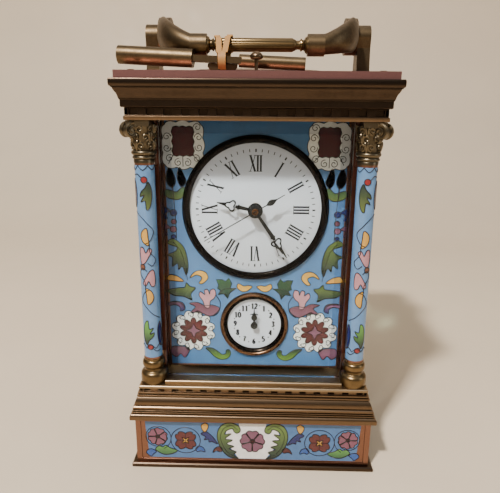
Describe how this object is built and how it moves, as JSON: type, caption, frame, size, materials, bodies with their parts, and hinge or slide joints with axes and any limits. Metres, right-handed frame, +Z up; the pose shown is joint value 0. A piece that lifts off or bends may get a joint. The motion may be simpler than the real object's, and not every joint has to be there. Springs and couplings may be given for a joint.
{
  "type": "carriage clock",
  "caption": "Brass carriage clock with enamelled columns and panels, main and alarm dials, bevelled glass, glazed back door, folding handle and a winding key tied to it.",
  "frame": {"origin": "centre of the underside of the bottom plate", "axes": "+Z up, +X to the right of someone facing the dial, the dial faces -Y"},
  "size_m": [0.1, 0.088, 0.18],
  "materials": {
    "antique_brass": "darkened antique brass, satin, worn bright along its edges",
    "bright_brass": "polished brass",
    "copper": "pinkish copper edge, brushed",
    "enamel": "glossy cloisonne enamel, blue ground with wired cells",
    "column_enamel": "glossy light blue cloisonne enamel",
    "dial_white": "glossy white enamel dial",
    "bezel_bronze": "dark bronzed brass",
    "alarm_bezel_brass": "brown brass",
    "hand_black": "gloss black",
    "glass": "clear bevelled glass",
    "movement_brass": "lacquered brass, fine grained",
    "steel": "ground steel",
    "bell_metal": "bell bronze, turned",
    "rubber_band": "matt orange-yellow rubber"
  },
  "bodies": {
    "case": {"alarm_bezel": "alarm_bezel_brass", "alarm_dial": "dial_white", "architrave": "antique_brass", "back_movement_plate": "movement_brass", "base_moulding": "antique_brass", "bell": "bell_metal", "bell_post": "steel", "bottom_plate": "antique_brass", "column_bases": "antique_brass", "column_capitals": "antique_brass", "column_shafts": "column_enamel", "corner_posts": "antique_brass", "cornice": "antique_brass", "deck_plate": "antique_brass", "dial_mask": "enamel", "front_glass": "glass", "front_movement_plate": "movement_brass", "handle_post_left": "bright_brass", "handle_post_right": "bright_brass", "left_glass": "glass", "lower_dentil_band": "antique_brass", "main_bezel": "bezel_bronze", "main_dial": "dial_white", "plate_pillars": "movement_brass", "platform_plate": "movement_brass", "plinth_frame": "antique_brass", "plinth_panel_back": "enamel", "plinth_panel_front": "enamel", "plinth_panels_side": "enamel", "right_glass": "glass", "tie_rods": "steel", "top_plate": "copper", "top_window": "glass", "upper_dentil_band": "antique_brass"},
    "handle": {"handle_grip": "bright_brass", "handle_arm_left": "bright_brass", "handle_arm_right": "bright_brass", "winding_key": "bright_brass", "rubber_band": "rubber_band"},
    "door": {"door_frame": "antique_brass", "door_glass": "glass", "door_knob": "bright_brass"},
    "button": {"stop_button": "bright_brass"},
    "minute": {"minute_hand": "hand_black", "cannon_pinion": "movement_brass"},
    "hour": {"hour_hand": "hand_black", "hour_wheel": "movement_brass"},
    "motion": {"motion_wheel": "movement_brass"},
    "seconds": {"seconds_hand": "hand_black", "seconds_arbor": "movement_brass"},
    "third": {"third_wheel": "movement_brass"},
    "centre": {"centre_arbor": "movement_brass"},
    "barrel": {"time_barrel": "movement_brass"},
    "escape": {"escape_wheel": "steel"},
    "lever": {"pallet_lever": "steel"},
    "balance": {"balance_wheel": "movement_brass"},
    "alarm_barrel": {"alarm_barrel": "movement_brass"},
    "alarm_hand": {"alarm_hand": "hand_black", "alarm_setting_arbor": "movement_brass"},
    "hammer": {"alarm_hammer": "steel"}
  },
  "joints": [
    {"name": "handle_fold", "type": "hinge", "parent": "case", "child": "handle", "pos_m": [0, 0, 0.173], "axis": [-1, 0, 0], "range_deg": [0, 200]},
    {"name": "door_swing", "type": "hinge", "parent": "case", "child": "door", "pos_m": [-0.0337, 0.0355, 0.088], "axis": [0, 0, 1], "range_deg": [0, 100]},
    {"name": "button_press", "type": "slide", "parent": "case", "child": "button", "axis": [0, 0, -1], "range_m": [0, 0.0025], "stiffness_N_per_m": 60},
    {"name": "minute_turn", "type": "hinge", "parent": "case", "child": "minute", "pos_m": [0, 0, 0.1062], "axis": [0, 1, 0], "continuous": true},
    {"name": "hour_turn", "type": "hinge", "parent": "case", "child": "hour", "pos_m": [0, 0, 0.1062], "axis": [0, 1, 0], "continuous": true},
    {"name": "motion_turn", "type": "hinge", "parent": "case", "child": "motion", "pos_m": [-0.00679, 0, 0.09941], "axis": [0, 1, 0], "continuous": true},
    {"name": "seconds_turn", "type": "hinge", "parent": "case", "child": "seconds", "pos_m": [0, 0, 0.1062], "axis": [0, 1, 0], "continuous": true},
    {"name": "third_turn", "type": "hinge", "parent": "case", "child": "third", "pos_m": [0.01421, 0, 0.10103], "axis": [0, 1, 0], "continuous": true},
    {"name": "centre_turn", "type": "hinge", "parent": "case", "child": "centre", "pos_m": [0, 0, 0.1062], "axis": [0, 1, 0], "continuous": true},
    {"name": "barrel_turn", "type": "hinge", "parent": "case", "child": "barrel", "pos_m": [-0.011, 0, 0.08431], "axis": [0, 1, 0], "continuous": true},
    {"name": "escape_turn", "type": "hinge", "parent": "case", "child": "escape", "pos_m": [0, 0.0154, 0.13], "axis": [0, 0, 1], "continuous": true},
    {"name": "lever_rock", "type": "hinge", "parent": "case", "child": "lever", "pos_m": [0, 0.0076, 0.13], "axis": [0, 0, 1], "range_deg": [-5, 5]},
    {"name": "balance_swing", "type": "hinge", "parent": "case", "child": "balance", "pos_m": [0, 0, 0.13], "axis": [0, 0, 1], "range_deg": [-270, 270], "stiffness_Nm_per_rad": 0.000016},
    {"name": "alarm_winding", "type": "hinge", "parent": "case", "child": "alarm_barrel", "pos_m": [0.0145, 0, 0.056], "axis": [0, 1, 0], "continuous": true},
    {"name": "alarm_setting", "type": "hinge", "parent": "case", "child": "alarm_hand", "pos_m": [0, 0, 0.0572], "axis": [0, 1, 0], "continuous": true},
    {"name": "hammer_swing", "type": "hinge", "parent": "case", "child": "hammer", "pos_m": [-0.024, 0, 0.05], "axis": [0, 1, 0], "range_deg": [-1, 5], "stiffness_Nm_per_rad": 0.004}
  ],
  "couplings": [
    {"joint": "hour_turn", "follows": "minute_turn", "ratio": 0.083333},
    {"joint": "motion_turn", "follows": "minute_turn", "ratio": -0.33333},
    {"joint": "third_turn", "follows": "seconds_turn", "ratio": -0.13333},
    {"joint": "centre_turn", "follows": "seconds_turn", "ratio": 0.016667},
    {"joint": "barrel_turn", "follows": "seconds_turn", "ratio": -0.0027778},
    {"joint": "escape_turn", "follows": "seconds_turn", "ratio": 10}
  ]
}
